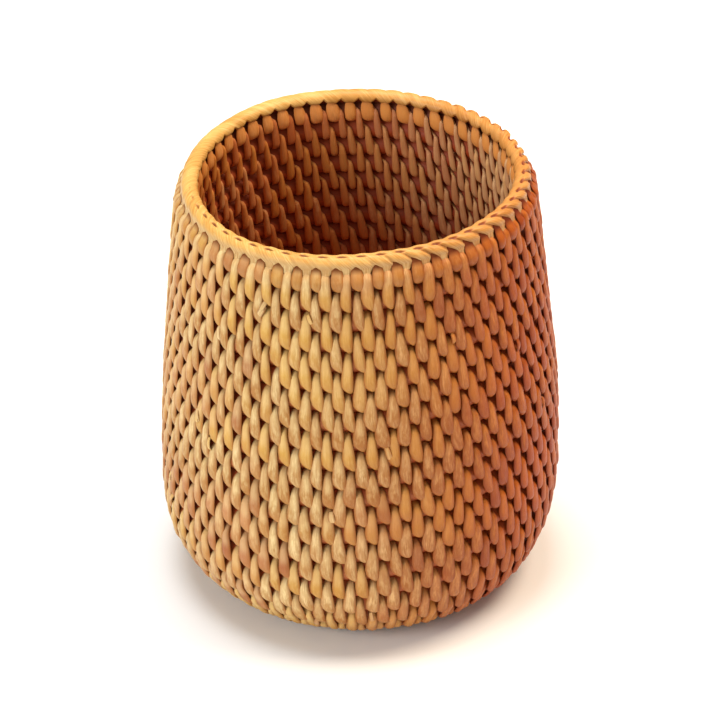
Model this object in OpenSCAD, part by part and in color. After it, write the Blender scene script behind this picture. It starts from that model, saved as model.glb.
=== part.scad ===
// Coiled rattan wastebasket. One long rod is wound in a flat spiral for the base and then in turns
// that climb and narrow to the mouth. Short lashing strips each go round two neighbouring turns, and
// the stitches of one row stand half a stitch away from those of the rows beside it.
// The origin is at the centre of the underside, +Z up, in millimetres.

/* [Rod and strips] */
// Diameter of the coiled rod
rod_d = 11; // [9:0.5:12]
// Diameter of the thinner rod along the rim
rim_rod_d = 6; // [5:0.5:8]
// Thickness of the lashing strips
strip_t = 1; // [0.6:0.1:1.4]
// Width of a lashing strip where there is room for it
strip_w = 5.6; // [4:0.1:5.8]
// Share of a stitch's pitch that its strip may fill
strip_fill = 0.44; // [0.3:0.01:0.46]

/* [Base] */
// Radius of the innermost turn of the base
start_r = 10; // [9:0.5:14]
// Stitches round the innermost row of the base
start_stitches = 7; // [5:1:7]

/* [Wall] */
// Stitches round one turn of the wall
stitches = 56; // [40:8:56]
// Turns over which the wall curves up from flat to upright
turn_rows = 7.2; // [5:0.1:9]
// Slope of the wall at its widest turn, in degrees
upright = 90.8; // [89:0.1:92]
// Lean of the upper wall towards the mouth, in degrees
taper = 5.5; // [0:0.1:8]
// Turns over which the wall goes from upright to its full lean
taper_rows = 7.4; // [4:0.1:10]
// Slope of the step from the top turn of the wall to the rim rod, in degrees
rim_climb = 102; // [85:1:110]

/* [Hidden] */
base_turns = 6;
wall_turns = 21;
clear = 0.05;                                // between a strip and the rod under it
reach = rod_d/2 + clear + strip_t;           // from a turn's centre line to the outside of its strips
lash_gap = 2*(strip_t + clear) + 0.1;        // two strips side by side between two turns
pitch = rod_d + lash_gap;
$fn = 64;

function pad(i) = str(i < 10 ? "0" : "", i);
base_coils = [for (i = [1:base_turns]) str("base_coil_", pad(i))];
base_lashings = [for (i = [1:base_turns - 1]) str("base_lashing_", pad(i))];
wall_coils = [for (i = [1:wall_turns]) str("wall_coil_", pad(i))];
wall_lashings = [for (i = [1:wall_turns]) str("wall_lashing_", pad(i))];

// A turn is [radius, height, rod radius] of the rod's centre line. Turns 1 to base_turns lie flat, the
// wall's turns follow, and the last one is the rim rod.
last_turn = base_turns + wall_turns;
rim_turn = last_turn + 1;

function smooth(t) = let (c = max(0, min(1, t))) c*c*(3 - 2*c);
// Slope of the wall's step number i, counted from the outermost flat turn
function curl(i) = 1 - pow(1 - min(1, (i + 0.5)/turn_rows), 2);
function climb(i) = upright*curl(i) + (taper + 90 - upright)*smooth((i + 1 - turn_rows)/taper_rows);
function stepped(turn, angle, length, radius) =
    [turn[0] + length*cos(angle), turn[1] + length*sin(angle), radius];
function turn(k) =
    k <= base_turns ? [start_r + pitch*(k - 1), reach, rod_d/2] :
    k <= last_turn ? stepped(turn(k - 1), climb(k - 1 - base_turns), pitch, rod_d/2) :
    stepped(turn(last_turn), rim_climb, (rod_d + rim_rod_d)/2 + lash_gap, rim_rod_d/2);

// Row k of stitches goes round turns k and k + 1. The number of stitches doubles outwards over the
// base, and a row starts half a stitch on from the row inside or below it.
function doublings(k) = k < 3 ? k - 1 : k < base_turns ? 2 : 3;
function count(k) = k < 1 ? 0 : min(stitches, start_stitches*pow(2, doublings(k)));
function phase(k) = k <= 1 ? 0 : count(k) == count(k - 1) ? 0.5 - phase(k - 1) : 0.5;
function room(k) = strip_fill*2*PI*turn(k)[0]/count(k);
function hole_room(k) = k > 1 ? strip_w : 2*strip_fill*2*PI*(start_r - reach)/count(k);
function width(k) = min(strip_w, room(k), hole_room(k), k < last_turn ? room(k + 1) : strip_w);

module rod_ring(t) {
    rotate_extrude() translate([t[0], t[1]]) circle(t[2]);
}

// One strip of width w wrapped round the rods of turns a and b. The belt's outline is drawn with the
// first rod's centre at the origin and the second one's on +X; slant is where it leaves a rod.
module stitch(a, b, w) {
    span = norm([b[0] - a[0], b[1] - a[1]]);
    slant = acos((a[2] - b[2])/span);
    module belt(grow) {
        ra = a[2] + grow;
        rb = b[2] + grow;
        circle(ra);
        translate([span, 0]) rotate(180) circle(rb);
        polygon([ra*[cos(slant), sin(slant)], [span, 0] + rb*[cos(slant), sin(slant)],
                 [span, 0] + rb*[cos(slant), -sin(slant)], ra*[cos(slant), -sin(slant)]]);
    }
    translate([a[0], 0, a[1]]) rotate([90, 0, 0]) rotate(atan2(b[1] - a[1], b[0] - a[0]))
        linear_extrude(w, center = true) difference() {
            belt(clear + strip_t);
            belt(clear);
        }
}

module stitch_row(k) {
    for (j = [0:count(k) - 1]) rotate((j + phase(k))*360/count(k)) stitch(turn(k), turn(k + 1), width(k));
}

module base_coil(i) { color("burlywood") rod_ring(turn(i)); }
module base_lashing(i) { color("peru") stitch_row(i); }
module wall_coil(i) { color("burlywood") rod_ring(turn(base_turns + i)); }
module wall_lashing(i) { color("sandybrown") stitch_row(base_turns + i - 1); }
module rim_rod() { color("burlywood") rod_ring(turn(rim_turn)); }
module rim_lashing() { color("sandybrown") stitch_row(last_turn); }

// The rim's own wraps go round the rim rod alone, between the stitches that hold it down
module rim_binding() {
    t = turn(rim_turn);
    w = min(strip_w, strip_fill*2*PI*t[0]/stitches);
    color("goldenrod") for (j = [0:stitches - 1])
        rotate((j + 0.5 + phase(last_turn))*360/stitches) translate([t[0], 0, t[1]]) rotate([90, 0, 0])
            linear_extrude(w, center = true) difference() {
                circle(t[2] + clear + strip_t);
                circle(t[2] + clear);
            }
}

for (i = [1:base_turns]) base_coil(i);
for (i = [1:base_turns - 1]) base_lashing(i);
for (i = [1:wall_turns]) wall_coil(i);
for (i = [1:wall_turns]) wall_lashing(i);
rim_rod();
rim_lashing();
rim_binding();
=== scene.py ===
import math

import bpy
import numpy as np
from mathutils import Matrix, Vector


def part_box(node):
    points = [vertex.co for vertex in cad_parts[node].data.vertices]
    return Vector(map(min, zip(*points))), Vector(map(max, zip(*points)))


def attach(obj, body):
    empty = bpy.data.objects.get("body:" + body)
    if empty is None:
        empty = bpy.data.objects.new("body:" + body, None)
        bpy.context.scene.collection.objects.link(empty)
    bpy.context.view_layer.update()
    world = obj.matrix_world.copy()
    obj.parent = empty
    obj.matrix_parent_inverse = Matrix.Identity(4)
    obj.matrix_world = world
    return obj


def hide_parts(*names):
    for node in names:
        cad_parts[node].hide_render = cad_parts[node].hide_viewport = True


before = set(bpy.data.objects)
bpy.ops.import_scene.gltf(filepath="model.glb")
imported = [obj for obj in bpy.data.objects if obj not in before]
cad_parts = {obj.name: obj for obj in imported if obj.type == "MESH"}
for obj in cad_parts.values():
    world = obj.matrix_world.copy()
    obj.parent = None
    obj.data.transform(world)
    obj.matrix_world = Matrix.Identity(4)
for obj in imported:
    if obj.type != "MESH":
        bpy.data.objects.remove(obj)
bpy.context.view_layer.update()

# Lengths are in metres. A strip's own shape is drawn in millimetres and scaled by MM.
MM = 0.001
SEED = 20240
STITCHES = 56                # stitches round one turn of the wall
FIRST_STITCHES = 7           # stitches in the innermost row of the base
DOUBLINGS = 2                # how often that number doubles inside the base, row after row
NOMINAL_PITCH = 13.1 * MM    # pitch for which the strip's outline is drawn

# ---------------------------------------------------------------- the coil, as the CAD says


def turn(node):
    """Radius and height of a coil node's centre line, and the radius of its rod."""
    lo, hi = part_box(node)
    rod = (hi.z - lo.z) / 2
    return np.array((hi.x - rod, (lo.z + hi.z) / 2, rod))


def nodes_named(start):
    """Nodes of one kind, from the middle of the base outwards and up."""
    return sorted(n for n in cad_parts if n.startswith(start))


COILS = nodes_named("base_coil") + nodes_named("wall_coil") + ["rim_rod"]
LASHINGS = nodes_named("base_lashing") + nodes_named("wall_lashing") + ["rim_lashing"]
BASE_TURNS = len(nodes_named("base_coil"))
TURNS = np.array([turn(n) for n in COILS])
# The top turn and the rim rod are painted dark as shade under the border
UNDER_BORDER = COILS[-2:]    # the top turn and the rim rod
RIM_ROW = len(LASHINGS)      # rows are counted from 1
LOBE_ROW = RIM_ROW - 1       # the row whose stitches come down from the border


def stitch_count(row):
    """Stitches in a row; the rows of the base double outwards."""
    if row >= BASE_TURNS:
        return STITCHES
    return FIRST_STITCHES * 2 ** min(row - 1, DOUBLINGS)


def stitch_phases():
    """Each row starts half a stitch on from the one before it, unless the count has doubled."""
    phases = [0.0]
    for row in range(2, RIM_ROW + 1):
        same = stitch_count(row) == stitch_count(row - 1)
        phases.append(0.5 - phases[-1] if same else 0.5)
    return phases


# ---------------------------------------------------------------- shaping the whole weave


def smooth(t):
    """0 below 0, 1 above 1, and an even curve between."""
    t = np.clip(t, 0, 1)
    return t * t * (3 - 2 * t)


LEAN = 0.07                  # rise of the front rows from left to right
LEAN_FROM = 12 * MM          # height where that starts
LEAN_OVER = 55 * MM          # height that it takes to reach its full share
DRIFT = 2.4 * MM             # how far the mouth stands to the left of the base
DRIFT_FROM = 120 * MM        # height where that starts
DRIFT_OVER = 150 * MM        # height that it takes to reach its full share
SWELL_RADIUS = 110 * MM      # radius at which the swells have their full size
# Waves round the basket: size in mm, waves in one turn, turn with height in radians a metre, start
RIPPLES = ((0.25, 5, 31, 0.6), (0.2, 9, -47, 2.1))    # up and down
SWELLS = ((0.4, 2, 9, 0.5), (0.25, 3, -14, 1.3))      # in and out
PRESSED = 0.5 * MM           # strips under the base are pressed flat below this height


def waves(table, angle, z):
    """Sum of a table's waves, in mm."""
    return sum(size * np.sin(count * angle + turn * z + start) for size, count, turn, start in table)


def settle(points):
    """Handmade unevenness: the turns rise to the right at the front, and the wall is never quite round."""
    x, y, z = points[..., 0], points[..., 1], points[..., 2]
    angle = np.arctan2(y, x)
    up = smooth((z - LEAN_FROM) / LEAN_OVER)
    facing = (1 - y / np.maximum(np.hypot(x, y), 1e-6)) / 2
    swell = 1 + up * waves(SWELLS, angle, z) * MM / SWELL_RADIUS
    out = np.empty_like(points)
    out[..., 0] = x * swell - DRIFT * smooth((z - DRIFT_FROM) / DRIFT_OVER)
    out[..., 1] = y * swell
    out[..., 2] = z + up * (LEAN * x * facing + waves(RIPPLES, angle, z) * MM)
    return out


def rest_flat(points):
    """Flatten what would pass below the surface that the basket stands on."""
    z = points[..., 2]
    low = PRESSED * np.exp(np.minimum(z - PRESSED, 0) / PRESSED)
    points[..., 2] = np.where(z < PRESSED, low, z)
    return points


# ---------------------------------------------------------------- meshes


def add_mesh(name, points, faces, attributes, material):
    """One object from arrays: points (n, 3), faces (m, 4) and named vectors for each point."""
    mesh = bpy.data.meshes.new(name)
    mesh.vertices.add(len(points))
    mesh.vertices.foreach_set("co", points.astype(np.float32).ravel())
    mesh.loops.add(faces.size)
    mesh.loops.foreach_set("vertex_index", faces.astype(np.int32).ravel())
    mesh.polygons.add(len(faces))
    mesh.polygons.foreach_set("loop_start", np.arange(len(faces), dtype=np.int32) * faces.shape[1])
    for key, values in attributes.items():
        layer = mesh.attributes.new(key, "FLOAT_VECTOR", "POINT")
        layer.data.foreach_set("vector", values.astype(np.float32).ravel())
    mesh.update(calc_edges=True)
    mesh.validate()
    mesh.polygons.foreach_set("use_smooth", np.ones(len(faces), dtype=bool))
    mesh.materials.append(material)
    piece = bpy.data.objects.new(name, mesh)
    bpy.context.scene.collection.objects.link(piece)
    return piece


def band_faces(steps, ring, closed_path=True):
    """Quads between neighbouring rings of a swept section, facing out."""
    i = np.arange(steps if closed_path else steps - 1)[:, None]
    k = np.arange(ring)[None, :]
    i2 = (i + 1) % steps
    k2 = (k + 1) % ring
    return np.stack([i * ring + k, i2 * ring + k, i2 * ring + k2, i * ring + k2], -1).reshape(-1, 4)


def joined(parts):
    """Several sets of points, faces and attributes as one."""
    starts = np.cumsum([0] + [len(points) for points, _, _ in parts[:-1]])
    points = np.concatenate([points for points, _, _ in parts])
    faces = np.concatenate([faces + start for (_, faces, _), start in zip(parts, starts)])
    attributes = {key: np.concatenate([a[key] for _, _, a in parts]) for key in parts[0][2]}
    return points, faces, attributes


def around(r, angle, z):
    """Points (n, 3) from radius, bearing and height."""
    return np.stack([r * np.cos(angle), r * np.sin(angle), z], -1).reshape(-1, 3)


def soft_kernel(width):
    """Weights for a smooth average over some neighbouring points."""
    kernel = np.hanning(width + 2)[1:-1]
    return kernel / kernel.sum()


def rows_of(*columns):
    """Arrays that may be broadcast together, as one vector for each point."""
    return np.stack(np.broadcast_arrays(*columns), -1).reshape(-1, 3)


def finish_piece(piece, slot, *nodes):
    """Tie a piece to the frame's body, and hide the CAD nodes that it stands for. Its material slot is not
    used.
    """
    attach(piece, "root")
    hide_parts(*nodes)
    return piece


# ---------------------------------------------------------------- rods

ROD_PRESS = 1.5 * MM         # spread of a rod towards its neighbours, so that no light shows between
PRESS_POWER = 8              # how narrow the spread part of its section is
ROD_RING = 16                # points round a rod's section
ROD_STEPS = 192              # sections round a turn
SMALL_TURN = 40 * MM         # a turn with a smaller radius has half as many
KNOT_WAVES = (3, 7, 11)      # swellings round a turn
KNOT_SIZE = 0.012            # their size, as a share of the rod's radius
ANY_START = 6.3              # about a whole turn, in radians


def coil_way(index):
    """Direction in section from the turn before to the turn after."""
    before, after = TURNS[max(index - 1, 0)], TURNS[min(index + 1, len(TURNS) - 1)]
    return (after[:2] - before[:2]) / np.linalg.norm(after[:2] - before[:2])


def rod(index, material, rng):
    """A turn of the coil: a rod, a little uneven along its length, pressed against its neighbours."""
    node = COILS[index]
    reach, level, thickness = TURNS[index]
    way = coil_way(index)
    steps = ROD_STEPS if reach > SMALL_TURN else ROD_STEPS // 2
    a = np.linspace(0, 2 * math.pi, steps, endpoint=False)[:, None]
    c = np.linspace(0, 2 * math.pi, ROD_RING, endpoint=False)[None, :]
    knots = sum(np.sin(f * a + rng.uniform(0, ANY_START)) for f in KNOT_WAVES) / len(KNOT_WAVES)
    radius = thickness * (1 + KNOT_SIZE * knots)
    facing = np.cos(c) * way[0] + np.sin(c) * way[1]
    spread = ROD_PRESS * np.sign(facing) * np.abs(facing) ** PRESS_POWER
    r = reach + radius * np.cos(c) + spread * way[0]
    z = level + radius * np.sin(c) + spread * way[1]
    strip = rows_of(c / math.pi - 1, a * reach / NOMINAL_PITCH, rng.random())
    # Marks for painted shade: the grooves towards the turns above and below (with some stain), the inner
    # side, and all over the top turn and the rim rod under the border
    light_shade_and_stain = rows_of(np.abs(np.sin(c)), (1 - np.cos(c)) / 2, 0 * r + (node in UNDER_BORDER))
    faces = band_faces(steps, ROD_RING)[:, ::-1]
    points = rest_flat(settle(around(r, a, z)))
    piece = add_mesh(node + "_rod", points, faces, {"strip": strip, "light_shade_and_stain": light_shade_and_stain}, material)
    return finish_piece(piece, "rattan_rod", node)


# ---------------------------------------------------------------- lashing strips

# Outline of a strip as it winds once round two turns, in mm: how far along (0 at the top of the
# upper turn, 1 under the lower one, outside; 1 to 2 back up inside), left edge, right edge, crown.
STITCH = (
    (0.00, -2.1, 2.4, 0.65),
    (0.08, -2.3, 2.6, 1.00),
    (0.20, -2.8, 2.9, 1.20),
    (0.38, -3.7, 3.2, 1.30),
    (0.52, -4.4, 3.4, 1.35),
    (0.66, -4.9, 3.4, 1.35),
    (0.72, -4.4, 3.4, 1.35),
    (0.80, -2.4, 3.4, 1.25),
    (0.88, -0.3, 3.3, 1.10),
    (0.95, 1.50, 3.2, 0.90),
    (1.00, 1.20, 2.9, 0.50),
    (1.05, -1.0, 2.5, 0.75),
    (1.14, -2.9, 2.6, 1.10),
    (1.30, -3.2, 2.9, 1.25),
    (1.50, -3.1, 2.8, 1.25),
    (1.70, -2.5, 2.1, 1.20),
    (1.85, -2.0, 1.5, 1.05),
    (1.94, -1.6, 1.3, 0.85),
)
# The same for the short stitches under the border, which start from a low neck, painted dark as shade
RIM_STITCH = (
    (0.00, -2.6, 2.4, 0.10),
    (0.38, -3.6, 3.4, 0.10),
    (0.43, -3.8, 3.5, 0.15),
    (0.46, -4.2, 3.7, 0.85),
    (0.52, -4.4, 3.9, 1.25),
    (0.64, -4.4, 3.9, 1.30),
    (0.74, -4.1, 3.5, 1.25),
    (0.82, -3.2, 3.2, 1.15),
    (0.88, -1.2, 2.9, 1.00),
    (0.93, 0.50, 2.6, 0.80),
    (0.99, 0.60, 2.4, 0.45),
    (1.05, -1.5, 2.4, 0.65),
    (1.14, -4.0, 3.9, 0.95),
    (1.30, -4.9, 4.8, 1.35),
    (1.50, -5.2, 5.0, 1.50),
    (1.68, -4.7, 4.5, 1.15),
    (1.78, -1.6, 1.6, 0.60),
    (1.94, -1.2, 1.2, 0.15),
)
# How far a strip has moved on along the row, in mm, at the same places: 0 to one stitch
TRAVEL = ((0.0, 0.0), (0.06, 0.1), (1.0, 2.3), (1.05, 2.4), (1.82, 5.2), (2.0, 13.1))
# More of that at the left of the inside, and as much less at the right
SWAY = ((1.05, 0.0), (1.82, 1.8), (2.0, 0.0))
# How far each wrap may differ from that: width and height as shares, shift and lift in mm, slant in
# mm for each mm along, and cut, the place of its foot, as a share of the way down
HAND = {
    "width": (0.88, 1.1),
    "shift": (-0.65, 0.65),
    "slant": (-0.075, 0.075),
    "height": (0.8, 1.2),
    "lift": (0.0, 0.3),
    "cut": (-0.03, 0.03),
}
# Where the points along a wrap lie, as shares of each stretch: from the top of the upper turn to its
# side, the straight between the turns, round under the lower turn, up its inner side, over the top
TOP_TO_SIDE = (0, 0.22, 0.42, 0.62, 0.8, 1)
BETWEEN_TURNS = (1 / 3, 2 / 3)
SIDE_TO_FOOT = (0, 0.16, 0.3, 0.43, 0.55, 0.66, 0.77, 0.88)
FOOT_TO_INSIDE = (0, 0.15, 0.35, 0.6, 0.8, 1)
INSIDE_TO_TOP = (1, 0.8, 0.6, 0.4, 0.2)
CORNER_GRID = 400            # steps in which an outline's corners are rounded off
CORNER_STEPS = 9             # and how many of those a corner spans
EDGE = 0.35                  # thickness of a strip at its edges, in mm
GAP = 0.05                   # the least distance from a strip to the turns, in mm
BULGE = 0.35                 # how much further a strip stands off at its belly, in mm
# A strip's section, as shares of its half width: its face from left to right, then its back
SECTION = np.array((-1, -0.88, -0.52, 0, 0.52, 0.88, 1, 0.92, -0.92))
IS_FACE = np.array((1, 1, 1, 1, 1, 1, 1, 0, 0))
NEXT_FROM = 1.8              # where a wrap starts to turn into the next one, of 2
LOBE_TINT = 0.5              # tone of the stitches that come down from the border, where they leave it
LOBE_WIDER = 0.25            # how much wider they are there
TUCKED = 0.6                 # a strip is tucked in, and painted dark as shade, where its crown is less than this, in mm
ROOM = (0.2, 1.05)           # least and most that a strip's width follows the space there is for it
RUN_LENGTH = (4, 15)         # stitches made with one length of rattan: at least, and fewer than
TONE_JITTER = 0.16           # change of tone from stitch to stitch within one length of rattan
HUE_JITTER = 0.08            # the same for hue
SPLICE_SHARE = 0.05          # stitches with a strip's end left lying on them
SPLICE_STEPS = 9             # sections along such an end
SPLICE_LENGTH = (3.5, 5.5)   # half its length, least and most, in mm
SPLICE_WIDTH = (1.4, 2.2)    # half its width
SPLICE_TILT = (-0.5, 0.5)    # its lean, in radians
SPLICE_ARCH = 1.7            # how far its middle stands off, in mm
SPLICE_THICK = 0.3           # its thickness at the edges, in mm
SPLICE_SECTION = np.array((-1, -0.6, 0, 0.6, 1, 0.6, 0, -0.6))
SPLICE_FACE = np.array((1, 1, 1, 1, 1, 0, 0, 0))
SPLICE_CAP = np.array([(0, 1, 2, 7), (7, 2, 3, 6), (6, 3, 4, 5)])    # the faces that close its ends


def rounded(table, u):
    """Values of a closed table at u, with its corners rounded off."""
    t = np.array(table)
    grid = np.linspace(0, 2, CORNER_GRID, endpoint=False)
    knots = np.append(t[:, 0], 2.0)
    kernel = soft_kernel(CORNER_STEPS)
    out = []
    for column in t.T[1:]:
        raw = np.interp(grid, knots, np.append(column, column[0]))
        wrapped = np.concatenate([raw[-CORNER_STEPS:], raw, raw[:CORNER_STEPS]])
        soft = np.convolve(wrapped, kernel, "same")[CORNER_STEPS:-CORNER_STEPS]
        out.append(np.interp(u, np.append(grid, 2.0), np.append(soft, soft[0])))
    return out


def wall_frame(a, b):
    """Directions in section from turn a up to turn b, and outwards from the two."""
    up = (b[:2] - a[:2]) / np.linalg.norm(b[:2] - a[:2])
    return up, np.array((up[1], -up[0]))


def loop_path(a, b):
    """Once round turns a (lower) and b (upper): u, length of half the way, surface and normal in section."""
    span = math.hypot(b[0] - a[0], b[1] - a[1])
    lean = math.acos((a[2] - b[2]) / span)
    under = math.pi - lean
    path = [(0, lean * s) for s in TOP_TO_SIDE]
    path += [(s, lean) for s in BETWEEN_TURNS]
    path += [(1, lean + under * s) for s in SIDE_TO_FOOT]
    path += [(1, math.pi + under * s) for s in FOOT_TO_INSIDE]
    path += [(s, 2 * math.pi - lean) for s in reversed(BETWEEN_TURNS)]
    path += [(0, 2 * math.pi - lean * s) for s in INSIDE_TO_TOP]
    side, angle = np.array(path).T
    straight = span * math.sin(lean)
    half = lean * b[2] + straight + under * a[2]
    turned = np.where(angle > math.pi, 2 * math.pi - angle, angle)
    run = np.minimum(turned, lean) * b[2] + side * straight + np.maximum(turned - lean, 0) * a[2]
    u = np.where(angle >= math.pi, 2 - run / half, run / half)
    up, out = wall_frame(a, b)
    normal = np.cos(angle)[:, None] * up + np.sin(angle)[:, None] * out
    surface = side[:, None] * (a[:2] + a[2] * normal) + (1 - side)[:, None] * (b[:2] + b[2] * normal)
    return u, half, surface, normal


class Wraps:
    """Random values for each wrap of a row, which run over into the next wrap at its end."""

    def __init__(self, count, blend, rng):
        self.count = count
        self.blend = blend
        self.rng = rng

    def flow(self, values):
        """A value for each wrap, spread along it and blended into the next wrap's."""
        ahead = np.roll(values, -1)
        share = self.blend[None, :]
        return (values[:, None] * (1 - share) + ahead[:, None] * share)[..., None]

    def each(self, low, high):
        """A value of its own for each wrap."""
        return self.flow(self.rng.uniform(low, high, self.count))

    def runs(self, jitter):
        """One value for several wraps on end, as one length of rattan makes several stitches."""
        values = np.empty(self.count)
        at = 0
        while at < self.count:
            length = self.rng.integers(*RUN_LENGTH)
            values[at:at + length] = self.rng.random()
            at += length
        values += self.rng.uniform(-jitter, jitter, self.count)
        return self.flow(np.clip(values, 0, 1))


def splice(a, b, rng):
    """A strip's cut end, left lying over the stitches outside turns a and b."""
    up, out = wall_frame(a, b)
    along = np.linspace(-1, 1, SPLICE_STEPS)[:, None]
    v = SPLICE_SECTION[None, :]
    length = rng.uniform(*SPLICE_LENGTH)
    width = rng.uniform(*SPLICE_WIDTH)
    tilt = rng.uniform(*SPLICE_TILT)
    arch = (1 - along ** 2) ** 0.7
    height = 0.3 + SPLICE_ARCH * arch + SPLICE_FACE * (SPLICE_THICK + 0.3 * (1 - v * v))
    wide = v * width * (0.75 + 0.25 * arch)
    climb = along * length * math.cos(tilt) - wide * math.sin(tilt)
    sideways = along * length * math.sin(tilt) + wide * math.cos(tilt)
    middle = a[:2] + (b[:2] - a[:2]) * rng.uniform(0.2, 0.6)
    r = middle[0] + out[0] * (a[2] + height * MM) + up[0] * climb * MM
    z = middle[1] + out[1] * (a[2] + height * MM) + up[1] * climb * MM
    swing = rng.uniform(0, 2 * math.pi) + sideways * MM / r
    points = around(r, swing, z)
    ring = len(SPLICE_SECTION)
    last = (SPLICE_STEPS - 1) * ring
    sides = band_faces(SPLICE_STEPS, ring, False)
    faces = np.concatenate([sides, SPLICE_CAP[:, ::-1], SPLICE_CAP + last])[:, ::-1]
    strip = rows_of(v, 0.4 + 0.1 * along, rng.random())
    tint = rows_of(rng.uniform(0.8, 1.3), rng.random(), 0 * r)
    return points, faces, {"strip": strip, "tint": tint, "light_shade_and_stain": 0 * tint}


def strip_outline(row, u, hand):
    """Left edge, right edge and crown along each wrap, in mm, with its foot moved up or down."""
    cut = u + hand["cut"][..., 0] * smooth((u - 0.4) / 0.2) * smooth((1 - u) / 0.1)
    shape = RIM_STITCH if row == RIM_ROW else STITCH
    return [edge[..., None] for edge in rounded(shape, cut)]


def strip_heights(u, crown, hand):
    """How far each point of a strip stands off the turns, in mm."""
    body = EDGE + crown * hand["height"] * (1 - np.abs(SECTION) ** 2.2) ** 0.75
    bulge = BULGE * smooth((u - 0.35) / 0.25) * smooth((1 - u) / 0.2)
    return GAP + hand["lift"] + bulge[None, :, None] + np.where(IS_FACE > 0, body, 0.0)


def strip_across(u, half, left, right, hand):
    """How far each point of a strip lies to the right of its stitch's middle, in mm."""
    outside = np.where(u < 1, u - 0.5, 1.5 - u)[None, :, None]
    sides = (left + right) / 2 + (right - left) / 2 * hand["width"] * SECTION
    return sides + hand["shift"] + hand["slant"] * outside * half / MM


def strip_travel(u, theta):
    """How far a strip has moved on along the row, in mm."""
    travel = np.interp(u, *np.array(TRAVEL).T)[None, :, None]
    return travel - np.cos(theta) * np.interp(u, *np.array(SWAY).T)[None, :, None]


def strip_marks(row, u, crown, as_lobes, wraps, r):
    """What the material reads along a row's strip: place and seed; tints; painted shade where it is tucked
    in, and which stitches are the top row's.
    """
    strip = rows_of(SECTION[None, None, :], u[None, :, None] + 0 * r, wraps.each(0, 1))
    tone = wraps.runs(TONE_JITTER)
    hue = wraps.runs(HUE_JITTER)
    odd = wraps.each(0, 1) * (row != LOBE_ROW)
    tone = tone + (LOBE_TINT - tone) * as_lobes
    hue = hue + (LOBE_TINT - hue) * as_lobes
    tint = rows_of(tone + 0 * r, hue, odd)
    # Painted shade where the crown is low and the strip tucked in; and a mark for the top row, under the
    # border
    light_shade_and_stain = rows_of(smooth((TUCKED - crown) / 0.4), 0 * r + (row == RIM_ROW), 0)
    return {"strip": strip, "tint": tint, "light_shade_and_stain": light_shade_and_stain}


def lashing_row(node, row, phase, material, rng):
    """One row's strip, wound on from stitch to stitch round two neighbouring turns."""
    a, b = TURNS[row - 1], TURNS[row]
    count = stitch_count(row)
    u, half, surface, normal = loop_path(a, b)
    wraps = Wraps(count, smooth((u - NEXT_FROM) / (2 - NEXT_FROM)), rng)
    hand = {key: wraps.each(*limits) for key, limits in HAND.items()}
    as_lobes = smooth((0.55 - u) / 0.4)[None, :, None] * (row == LOBE_ROW)
    hand["width"] = hand["width"] * (1 + LOBE_WIDER * as_lobes)
    left, right, crown = strip_outline(row, u, hand)
    off = strip_heights(u, crown, hand)
    place = surface[None, :, None, :] + normal[None, :, None, :] * off[..., None] * MM
    r, z = place[..., 0], place[..., 1]
    theta = (np.arange(count) + phase)[:, None, None] * 2 * math.pi / count
    pitch = 2 * math.pi * r / count / NOMINAL_PITCH
    across = strip_across(u, half, left, right, hand) * np.clip(pitch, *ROOM)
    swing = theta + (across + strip_travel(u, theta) * pitch) * MM / np.maximum(r, 1 * MM)
    faces = band_faces(count * len(u), len(SECTION))
    parts = [(around(r, swing, z), faces, strip_marks(row, u, crown, as_lobes, wraps, r))]
    if BASE_TURNS < row < RIM_ROW:
        parts += [splice(a, b, rng) for _ in range(rng.binomial(count, SPLICE_SHARE))]
    points, faces, attributes = joined(parts)
    piece = add_mesh(node + "_strips", rest_flat(settle(points)), faces, attributes, material)
    return finish_piece(piece, "lashing_strip", node)


# ---------------------------------------------------------------- the rim

RIM_REACH = 5.2 * MM             # from the rim rod's centre line to the outside of the border
RIM_FROM, RIM_TO = 205, -20      # where the border lies on that circle, in degrees: inner edge to shoulder
LOBE_REACH = 7.5 * MM            # from the top turn's centre line to the outside of the border's lobes
LOBE_FROM, LOBE_TO = 61, 54      # where they lie on that circle
RIM_TWIST = 2.0                  # stitches that a wrap moves along the rim, over the border's whole width
SLIT_AT = 0.45                   # where the small slits are, across the border
NOTCH_OUTSIDE = 0.165            # share of the border's width that the notches between lobes take, outside
NOTCH_INSIDE = 0.14              # and inside
RIM_OUTSIDE = 0.5                # where the outer lobes stand, in stitches
KNOT_AT = 27                     # bearing of the border's own end, in degrees
KNOT_REACH = 180 / STITCHES      # half its length along the rim, in degrees: half a stitch
KNOT_HEIGHT = 1.7                # in mm
WRAP_STEPS = 22                  # points along the rim in one stitch
BORDER_STEPS = 48                # points across the border
BORDER_UNDER = np.array((47, 36, 24, 12, 0))    # which of those its underside takes, on the way back
UNDERSIDE = -1.5                 # height of its underside, in mm
THIN_EDGE = 0.8                  # how much thinner the border is along both edges, in mm
RIM_POINTS = 90                  # points of its outline in section: over the rim rod,
LOBE_POINTS = 24                 # on the shoulder,
LINE_POINTS = 120                # and along the whole, once they are spaced evenly
LINE_SOFTENING = 11              # how many of those its corners are rounded off over
GROOVE_WIDTH = 0.13              # of a groove between wraps, in stitches
SLIT_DEPTH = 1.7                 # in mm
SLIT_WIDTH = 0.036               # as a share of the border's width
ROPE_AT = 0.3                    # where the inner side's humps stand, in stitches
INSIDE_LEAD = 0.36               # lead of the inner side, in stitches, at the front and back
LEAD_CHANGE = 0.11               # how much less it is at the right, and more at the left
WRAP_UNEVEN = 0.1                # how much higher or lower a wrap may lie, in mm


def inside_lead(angle):
    """How many stitches the inner side of a rim stitch has moved on from its outer side."""
    return INSIDE_LEAD - LEAD_CHANGE * np.cos(angle)


def near(x, width):
    """1 at 0, falling away over the width."""
    return np.exp(-(x / width) ** 2)


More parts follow.
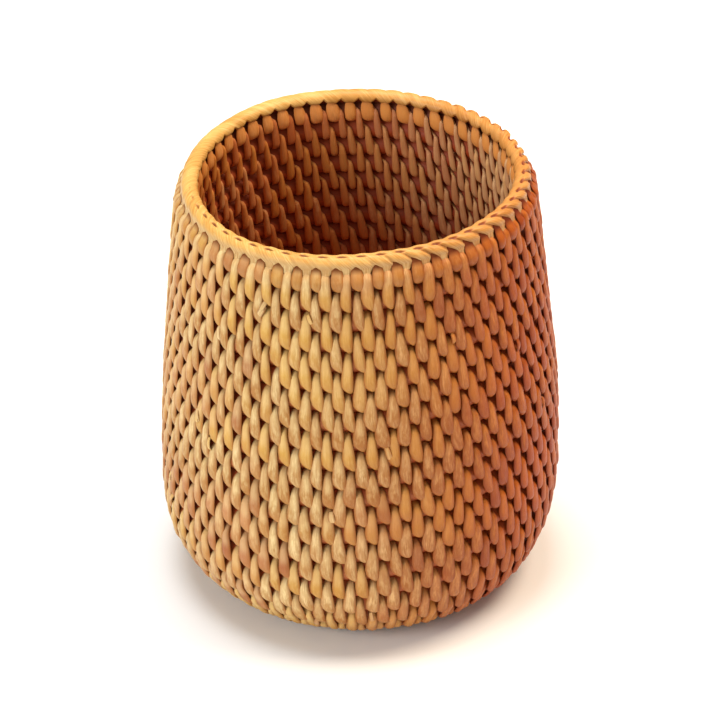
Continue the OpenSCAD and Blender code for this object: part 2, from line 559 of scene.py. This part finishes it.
def between(turns):
    """Distance from the nearest half turn, in stitches: 0 there, 0.5 at a whole one."""
    return np.abs(turns - np.floor(turns) - 0.5)


def arc(centre, reach, start, end, count):
    """Points along part of a circle in section, from one angle in degrees to another."""
    a = np.radians(np.linspace(start, end, count))
    return np.stack([centre[0] + reach * np.cos(a), centre[1] + reach * np.sin(a)], -1)


def border_line():
    """Outside of the border in section: over the rim rod from inside, then on to the top turn's shoulder."""
    top, shoulder = TURNS[-1], TURNS[-2]
    over_rim = arc(top, RIM_REACH, RIM_FROM, RIM_TO, RIM_POINTS)
    on_shoulder = arc(shoulder, LOBE_REACH, LOBE_FROM, LOBE_TO, LOBE_POINTS)
    line = np.concatenate([over_rim, on_shoulder])
    run = np.append(0, np.cumsum(np.linalg.norm(np.diff(line, axis=0), axis=1)))
    even = np.linspace(0, run[-1], LINE_POINTS)
    line = np.stack([np.interp(even, run, line[:, i]) for i in (0, 1)], -1)
    kernel = soft_kernel(LINE_SOFTENING)
    beyond = LINE_SOFTENING // 2
    padded = np.pad(line, ((beyond, beyond), (0, 0)), "reflect", reflect_type="odd")
    line = np.stack([np.convolve(padded[:, i], kernel, "valid") for i in (0, 1)], -1)
    way = np.gradient(line, axis=0)
    way /= np.linalg.norm(way, axis=1)[:, None]
    return np.linspace(0, 1, len(line)), line, np.stack([-way[:, 1], way[:, 0]], -1)


def border_run(j, q, outer, swing):
    """How far across the border each point is, when both its edges are notched."""
    inner = 0.5 - between(j - inside_lead(swing))
    first = NOTCH_INSIDE * np.interp(inner, (0.22, 0.5), (0, 1))
    last = 1 - NOTCH_OUTSIDE * np.interp(outer, (0.12, 0.2, 0.46, 0.5), (0, 0.12, 0.94, 1))
    return first + (last - first) * q


def border_cuts(run, seam, swing):
    """The grooves and slits between wraps, in mm: deeper where the border is loose or open."""
    loose = smooth((np.cos(swing) + 0.1) / 0.7)
    open_work = smooth((0.6 * np.cos(swing) - 0.8 * np.sin(swing) + 0.75) / 0.8)
    past_slit = smooth((run - SLIT_AT + 0.05) / 0.2)
    groove = (0.05 + (0.2 + 1.6 * loose) * past_slit) * near(seam, GROOVE_WIDTH)
    round_over = (0.05 + (0.15 + 0.75 * loose) * past_slit) * (1 - 2 * seam) ** 2
    slit = SLIT_DEPTH * open_work * near(run - SLIT_AT - 0.1 * seam, SLIT_WIDTH) * near(seam, 0.25)
    return groove, round_over, slit, open_work


def border_top(j, q, run, swing, open_work):
    """What stands up on the border, in mm: a rope-like inner side, the knot, and its thin edges."""
    hump = np.cos(2 * math.pi * (j - ROPE_AT)) * smooth((SLIT_AT - run) / 0.15)
    rope = (0.08 + 0.14 * open_work) * hump
    knot = KNOT_HEIGHT * near((np.degrees(swing) - KNOT_AT) / KNOT_REACH, 1) * near(run - 0.42, 0.2)
    thin = 1 - smooth(q / 0.08) * smooth((1 - q) / 0.1)
    return rope + knot - THIN_EDGE * thin


def with_underside(values):
    """Values across the border's top, and the same again for its underside."""
    return np.concatenate([values, values[:, BORDER_UNDER]], 1)


def rim_border(material, rng):
    """The border: strips wound closely over the rim rod, with notches where they go in on both sides."""
    j = np.arange(STITCHES * WRAP_STEPS)[:, None] / WRAP_STEPS
    q = np.linspace(0, 1, BORDER_STEPS)[None, :]
    swing = j * 2 * math.pi / STITCHES
    outer = 0.5 - between(j - RIM_OUTSIDE)
    run = border_run(j, q, outer, swing)
    edge = j - RIM_OUTSIDE + 0.5 + RIM_TWIST * np.maximum(1 - NOTCH_OUTSIDE - run, 0)
    seam = between(edge + 0.5)
    wrap = np.floor(edge).astype(int) % STITCHES
    groove, round_over, slit, open_work = border_cuts(run, seam, swing)
    uneven = rng.uniform(-WRAP_UNEVEN, WRAP_UNEVEN, STITCHES)[wrap] * near(0.5 - seam, 0.3)
    top = border_top(j, q, run, swing, open_work) + uneven - groove - round_over - slit
    rise = np.concatenate([top, UNDERSIDE + 0 * top[:, BORDER_UNDER]], 1) * MM
    # Painted shade in the slits, the grooves between wraps and the notches between lobes
    notch = smooth((q - 0.94) / 0.06) * smooth((outer - 0.2) / 0.1)
    dark = with_underside(np.clip(slit / 1.2 + groove * 0.4 + 0.8 * notch, 0, 1))
    seeds = with_underside(rng.random(STITCHES)[wrap])
    tones = with_underside(rng.random(STITCHES)[wrap])
    run = with_underside(run)
    across = with_underside(1 - 2 * seam)
    known, line, out = border_line()
    r, z, out_r, out_z = (np.interp(run, known, v) for v in (*line.T, *out.T))
    points = around(r + rise * out_r, swing, z + rise * out_z)
    faces = band_faces(len(j), BORDER_STEPS + len(BORDER_UNDER))[:, ::-1]
    # The tint's second number is the painted shade of the slits, grooves and notches
    attributes = {"strip": rows_of(across, run, seeds), "tint": rows_of(tones, dark, 0)}
    piece = add_mesh("rim_binding_wraps", settle(points), faces, attributes, material)
    return finish_piece(piece, "rim_strip", "rim_binding")


# ---------------------------------------------------------------- materials


def srgb(*rgb):
    """A colour given as 0 to 255 display values, as Blender's linear ones."""
    linear = [((c / 255 + 0.055) / 1.055) ** 2.4 if c > 10 else c / 255 / 12.92 for c in rgb]
    return (*linear, 1.0)


class Nodes:
    """A material's node tree, built in short calls."""

    def __init__(self, name):
        self.material = bpy.data.materials.new(name)
        self.material.use_nodes = True
        self.tree = self.material.node_tree
        self.shader = self.tree.nodes["Principled BSDF"]

    def put(self, value, socket):
        """Link a socket to an input, or set the input to a plain value."""
        if isinstance(value, bpy.types.NodeSocket):
            self.tree.links.new(value, socket)
        else:
            socket.default_value = value

    def add(self, kind, inputs=(), **settings):
        """A new node with its settings and inputs."""
        node = self.tree.nodes.new(kind)
        for key, value in settings.items():
            setattr(node, key, value)
        for key, value in dict(inputs).items():
            self.put(value, node.inputs[key])
        return node

    def math(self, operation, a, b):
        return self.add("ShaderNodeMath", {0: a, 1: b}, operation=operation).outputs[0]

    def split(self, vector):
        return self.add("ShaderNodeSeparateXYZ", {0: vector}).outputs

    def parts(self, attribute):
        """The three numbers of one of the mesh's own attributes."""
        return self.split(self.add("ShaderNodeAttribute", attribute_name=attribute).outputs["Vector"])

    def place(self):
        """Where a point is in the frame: every piece's origin is the frame's."""
        return self.add("ShaderNodeTexCoord").outputs["Object"]

    def vector(self, x, y, z):
        return self.add("ShaderNodeCombineXYZ", {0: x, 1: y, 2: z}).outputs[0]

    def noise(self, vector, scale, detail=3.0, roughness=0.55):
        inputs = {"Vector": vector, "Scale": scale, "Detail": detail, "Roughness": roughness}
        return self.add("ShaderNodeTexNoise", inputs).outputs[0]

    def ramp(self, value, *stops):
        """Colours at places from 0 to 1, blended between."""
        node = self.add("ShaderNodeValToRGB", {0: value})
        ramp = node.color_ramp
        while len(ramp.elements) < len(stops):
            ramp.elements.new(0.5)
        for element, (place, colour) in zip(ramp.elements, stops):
            element.position = place
            element.color = colour
        return node.outputs[0]

    def mix(self, share, a, b, blend="MIX"):
        node = self.add("ShaderNodeMix", data_type="RGBA", blend_type=blend)
        self.put(share, node.inputs[0])
        self.put(a, node.inputs[6])
        self.put(b, node.inputs[7])
        return node.outputs[2]

    def grade(self, value, low, high, to_low=0.0, to_high=1.0):
        """A smooth step from to_low at low to to_high at high."""
        inputs = {0: value, 1: low, 2: high, 3: to_low, 4: to_high}
        return self.add("ShaderNodeMapRange", inputs, interpolation_type="SMOOTHSTEP").outputs[0]

    def bump(self, height, strength, distance):
        inputs = {"Height": height, "Strength": strength, "Distance": distance}
        normal = self.add("ShaderNodeBump", inputs).outputs[0]
        self.put(normal, self.shader.inputs["Normal"])


# Colours of rattan: plain and weathered; painted shade in the grooves, where strips tuck in, under the
# border and low inside; painted warm shade on the right; and painted light as it comes back inside
STRAW = srgb(232, 206, 150)
HONEY = srgb(210, 180, 124)
TAN = srgb(194, 152, 92)
CLAY = srgb(172, 118, 58)
RUSSET = srgb(154, 78, 40)
ROSE = srgb(196, 132, 86)
OLIVE = srgb(212, 164, 70)
# BARK darkens strips along their edges: partly dirt, partly painted shade between neighbouring strips
BARK = srgb(156, 90, 26)
# UMBER, MAROON and SHADE are painted shade: in the rods' grooves (with some stain), down the inside, under
# the border, and where strips tuck in
UMBER = srgb(156, 62, 6)
MAROON = srgb(160, 44, 8)
SHADE = srgb(104, 42, 2)
# EMBER, PEACH and ALMOND are painted light inside: ruddy bounce at the left, paler at the right, and a lit
# orange on the top row
EMBER = srgb(218, 112, 54)
PEACH = srgb(250, 164, 86)
ALMOND = srgb(238, 188, 142)
# Multiplied in towards the right: painted warm shade
PAINTED_WARM_SHADE = srgb(216, 133, 38)
RIM_BROWN = srgb(184, 130, 60)
RIM_GOLD = srgb(206, 158, 84)
RIM_PALE = srgb(220, 182, 112)
# Painted shade in the border's slits, grooves and notches: brown at the left, red at the right
SLIT_BROWN = srgb(128, 74, 22)
SLIT_RED = srgb(130, 38, 2)
FLOOR_COOL = srgb(244, 249, 255)
FLOOR_PALE = srgb(248, 252, 255)
SEED_SPREAD = 57.0           # how far apart in the noise two strips are


def fibres(g, across, along, seed, fineness):
    """Grain that runs along a strip: noise stretched along it, different on each strip."""
    place = g.vector(g.math("MULTIPLY", across, fineness), along, g.math("MULTIPLY", seed, SEED_SPREAD))
    return g.noise(place, 2.2, 4.0, 0.6)


def painted_side_shading(g):
    """Share of painted side light and shade: none at the left, all at the right; deeper orange shade
    outside, paler light inside.
    """
    return g.grade(g.split(g.place())[0], -0.055, 0.11)


def painted_depth_shade(g):
    """Share of maroon painted as shade, more towards the bottom of the inside."""
    return g.grade(g.split(g.place())[2], 0.09, 0.22, 0.6, 0.0)


def mottle(g):
    """Slow changes over the whole basket, in patches of several stitches."""
    return g.noise(g.place(), 16.0, 2.0)


def straw_tones(g, tone, broad, fine):
    """Straw to clay with a strip's own tone, in streaks."""
    shade = g.math("ADD", g.math("MULTIPLY", tone, 0.5), g.grade(broad, 0.36, 0.64, 0.0, 0.5))
    base = g.ramp(shade, (0.05, CLAY), (0.35, TAN), (0.62, HONEY), (0.92, STRAW))
    return g.mix(g.grade(fine, 0.36, 0.58, 0.7, 0.0), base, CLAY)


def aged_tones(g, base, hue, odd):
    """Some lengths golden, some rosy, and a few stitches russet."""
    base = g.mix(g.grade(hue, 0.5, 0.9, 0.0, 0.7), base, OLIVE)
    base = g.mix(g.grade(hue, 0.28, 0.05, 0.0, 0.5), base, ROSE)
    base = g.mix(g.grade(mottle(g), 0.52, 0.66, 0.0, 0.4), base, ROSE)
    base = g.mix(g.grade(hue, 0.06, 0.03, 0.0, 0.4), base, RUSSET)
    return g.mix(g.grade(odd, 0.96, 0.98, 0.0, 0.55), base, RUSSET)


def highlight_and_shade_tones(g, base, across, along, side_shading):
    """A painted highlight where a strip comes over the rod, less of it to the right; painted shade towards
    its foot; and darker along its edges, partly dirt and partly painted shade between strips.
    """
    # Painted highlight on the upper part of each strip
    upper = g.math("MULTIPLY", g.grade(along, 0.6, 0.35, 0.0, 0.35), g.grade(side_shading, 0.0, 0.6, 1.0, 0.4))
    base = g.mix(upper, base, STRAW)
    # Painted shade towards the foot
    lower = g.math("MULTIPLY", g.grade(along, 0.5, 0.9, 0.0, 0.6), g.grade(along, 1.05, 1.0))
    base = g.mix(lower, base, CLAY)
    # Darker edges: partly dirt, partly painted shade where strips meet
    edge = g.grade(g.math("ABSOLUTE", across, 0.0), 0.35, 1.0, 0.0, 0.7)
    return g.mix(edge, base, BARK)


def inner_tones(g, base, inside, top_row, side_shading):
    """Inside, painted light as it comes back: ruddy, paler towards the right, and a lit orange on the
    stitches under the border, which are browner all round; maroon painted as shade towards the bottom.
    """
    base = g.mix(g.math("MULTIPLY", top_row, 0.35), base, CLAY)
    # Painted light coming back inside: ruddy at the left, paler at the right, a lit orange on the top row
    ruddy = g.math("MULTIPLY", inside, g.grade(top_row, 0.0, 1.0, 0.5, 0.65))
    base = g.mix(ruddy, base, g.mix(top_row, g.mix(side_shading, EMBER, ALMOND), PEACH))
    return g.mix(g.math("MULTIPLY", inside, painted_depth_shade(g)), base, MAROON)


def strip_material():
    """Peeled rattan strip: straw to clay tones from strip to strip, long fibres; a painted highlight on its
    upper part, painted shade towards its foot and where it tucks in, and darker edges, partly dirt and
    partly painted shade.
    """
    g = Nodes("lashing strip rattan")
    across, along, seed = g.parts("strip")
    tone, hue, odd = g.parts("tint")
    tucked, top_row = g.parts("light_shade_and_stain")[:2]
    fine = fibres(g, across, g.math("MULTIPLY", along, 1.6), seed, 3.5)
    broad = fibres(g, across, g.math("MULTIPLY", along, 2.0), seed, 0.7)
    side_shading = painted_side_shading(g)
    inside = g.grade(along, 1.0, 1.15)
    base = aged_tones(g, straw_tones(g, tone, broad, fine), hue, odd)
    base = highlight_and_shade_tones(g, base, across, along, side_shading)
    base = inner_tones(g, base, inside, top_row, side_shading)
    # Painted shade where the strip is tucked in
    base = g.mix(g.math("MULTIPLY", tucked, 0.85), base, SHADE)
    # Painted warm shade over the right of the outside
    outer_side_shading = g.math("MULTIPLY", side_shading, g.math("SUBTRACT", 1.0, inside))
    base = g.mix(outer_side_shading, base, PAINTED_WARM_SHADE, "MULTIPLY")
    g.put(base, g.shader.inputs["Base Color"])
    dull = g.math("MULTIPLY", tucked, 0.4)
    g.put(g.math("ADD", g.grade(fine, 0.2, 0.8, 0.34, 0.55), dull), g.shader.inputs["Roughness"])
    g.put(0.25, g.shader.inputs["Specular IOR Level"])
    g.bump(fine, 0.6, 0.0007)
    return g.material


def rod_material():
    """The coiled rod seen in the gaps: brown, with painted shade, partly stain, in the grooves between
    turns; painted shade on its inner side and under the border; painted warm shade to the right.
    """
    g = Nodes("rattan rod")
    across, along, seed = g.parts("strip")
    groove, inward, under_rim = g.parts("light_shade_and_stain")
    fine = fibres(g, across, along, seed, 9.0)
    base = g.ramp(fine, (0.3, CLAY), (0.75, TAN))
    # Painted warm shade towards the right
    base = g.mix(painted_side_shading(g), base, PAINTED_WARM_SHADE, "MULTIPLY")
    # Painted shade: maroon on the inner side, umber in the grooves (with some stain), and dark under the
    # border
    base = g.mix(g.grade(inward, 0.4, 0.7, 0.0, 0.85), base, MAROON)
    base = g.mix(g.grade(groove, 0.3, 0.9, 0.7, 0.95), base, UMBER)
    base = g.mix(g.math("MULTIPLY", under_rim, 0.85), base, SHADE)
    g.put(base, g.shader.inputs["Base Color"])
    g.put(g.grade(fine, 0.2, 0.8, 0.55, 0.75), g.shader.inputs["Roughness"])
    g.bump(fine, 0.3, 0.0005)
    return g.material


def rim_material():
    """Border strip: smooth golden rattan with fine fibres; painted shade down in the slits, grooves and
    notches, brown at the left and red at the right; painted warm shade towards the right.
    """
    g = Nodes("rim strip rattan")
    across, along, seed = g.parts("strip")
    tone, dark = g.parts("tint")[:2]
    fine = fibres(g, across, g.math("MULTIPLY", along, 1.2), seed, 3.0)
    shade = g.math("ADD", g.math("MULTIPLY", tone, 0.35), g.grade(fine, 0.3, 0.7, 0.0, 0.65))
    base = g.ramp(shade, (0.1, RIM_BROWN), (0.5, RIM_GOLD), (0.95, RIM_PALE))
    lobe = g.grade(along, 0.64, 0.8)
    calm = g.grade(fine, 0.3, 0.7, 0.44, 0.56)
    base = g.mix(lobe, base, straw_tones(g, LOBE_TINT, calm, calm))
    # Painted warm shade towards the right, and redder slit shade there
    side_shading = painted_side_shading(g)
    base = g.mix(g.math("MULTIPLY", side_shading, 0.45), base, PAINTED_WARM_SHADE, "MULTIPLY")
    # Painted shade down in the slits, grooves and notches, redder to the right
    slit_shade = g.mix(side_shading, SLIT_BROWN, SLIT_RED)
    base = g.mix(g.grade(dark, 0.1, 0.8, 0.0, 0.9), base, slit_shade)
    g.put(base, g.shader.inputs["Base Color"])
    g.put(g.grade(fine, 0.2, 0.8, 0.34, 0.5), g.shader.inputs["Roughness"])
    g.put(0.3, g.shader.inputs["Specular IOR Level"])
    g.bump(fine, g.grade(lobe, 0.0, 1.0, 0.3, 0.05), 0.0004)
    return g.material


def floor_material():
    """Pale, matt and nearly even."""
    g = Nodes("pale floor")
    base = g.ramp(g.noise(g.place(), 3.0), (0.3, FLOOR_COOL), (0.7, FLOOR_PALE))
    g.put(base, g.shader.inputs["Base Color"])
    g.put(0.9, g.shader.inputs["Roughness"])
    return g.material


# ---------------------------------------------------------------- stage, light and camera

FLOOR_HALF = 6.0             # half the floor's side
FLOOR_DROP = 0.2 * MM        # how far it lies below the basket's foot
WORLD_COLOUR = (1.0, 0.9, 0.78, 1.0)
WORLD_STRENGTH = 0.38
LIT_POINT = (0, 0, 0.14)     # what the lamps point at
# Name, place, size, power in watts and colour of each lamp
LAMPS = (
    ("key", (-2.0, -1.65, 1.2), 1.5, 38, (1.0, 1.0, 1.0)),
    ("overhead", (-0.3, 0.2, 2.4), 1.4, 44, (1.0, 0.98, 0.95)),
    ("warm fill", (1.0, 0.1, 1.9), 1.0, 36, (1.0, 0.8, 0.58)),
)
SEEN_POINT = (0, 0, 0.142)   # what the camera points at
CAMERA_RISE = 32.6           # angle of its view below the horizon, in degrees
CAMERA_DISTANCE = 2.5
LENS = 201                   # focal length and sensor width, in mm
SENSOR = 36
SIGHT = 50                   # how far the camera sees


def floor():
    """A large plane just under the basket."""
    signs = np.array([(-1, -1, 0), (1, -1, 0), (1, 1, 0), (-1, 1, 0)], float)
    corners = signs * FLOOR_HALF - np.array((0, 0, FLOOR_DROP))
    plane = add_mesh("floor", corners, np.array([[0, 1, 2, 3]]), {}, floor_material())


def aim(thing, place, target):
    """Put a lamp or camera in the scene, looking at a point."""
    thing.location = place
    thing.rotation_mode = "QUATERNION"
    thing.rotation_quaternion = (Vector(target) - Vector(place)).to_track_quat("-Z", "Y")
    bpy.context.scene.collection.objects.link(thing)


def area_light(name, place, size, power, colour):
    data = bpy.data.lights.new(name, "AREA")
    data.shape = "DISK"
    data.size = size
    data.energy = power
    data.color = colour
    aim(bpy.data.objects.new(name, data), place, LIT_POINT)


def light_scene():
    """A warm grey world and soft lamps."""
    world = bpy.data.worlds.new("studio")
    world.use_nodes = True
    background = world.node_tree.nodes["Background"]
    background.inputs[0].default_value = WORLD_COLOUR
    background.inputs[1].default_value = WORLD_STRENGTH
    bpy.context.scene.world = world
    for lamp in LAMPS:
        area_light(*lamp)


def add_camera():
    """A long lens in front of the basket, looking down on it."""
    rise = math.radians(CAMERA_RISE)
    data = bpy.data.cameras.new("camera")
    data.lens = LENS
    data.sensor_width = SENSOR
    data.clip_end = SIGHT
    camera = bpy.data.objects.new("camera", data)
    back = Vector((0, -math.cos(rise), math.sin(rise)))
    aim(camera, Vector(SEEN_POINT) + back * CAMERA_DISTANCE, SEEN_POINT)
    bpy.context.scene.camera = camera


# ---------------------------------------------------------------- the basket


def basket():
    """All pieces, in the order in which they are wound: rods, rows of strip, border."""
    rng = np.random.default_rng(SEED)
    rod_look = rod_material()
    strip_look = strip_material()
    for index in range(len(COILS)):
        rod(index, rod_look, rng)
    phases = stitch_phases()
    for row, node in enumerate(LASHINGS, start=1):
        lashing_row(node, row, phases[row - 1], strip_look, rng)
    rim_border(rim_material(), rng)


basket()
floor()
light_scene()
add_camera()
bpy.context.scene.view_settings.view_transform = "Standard"
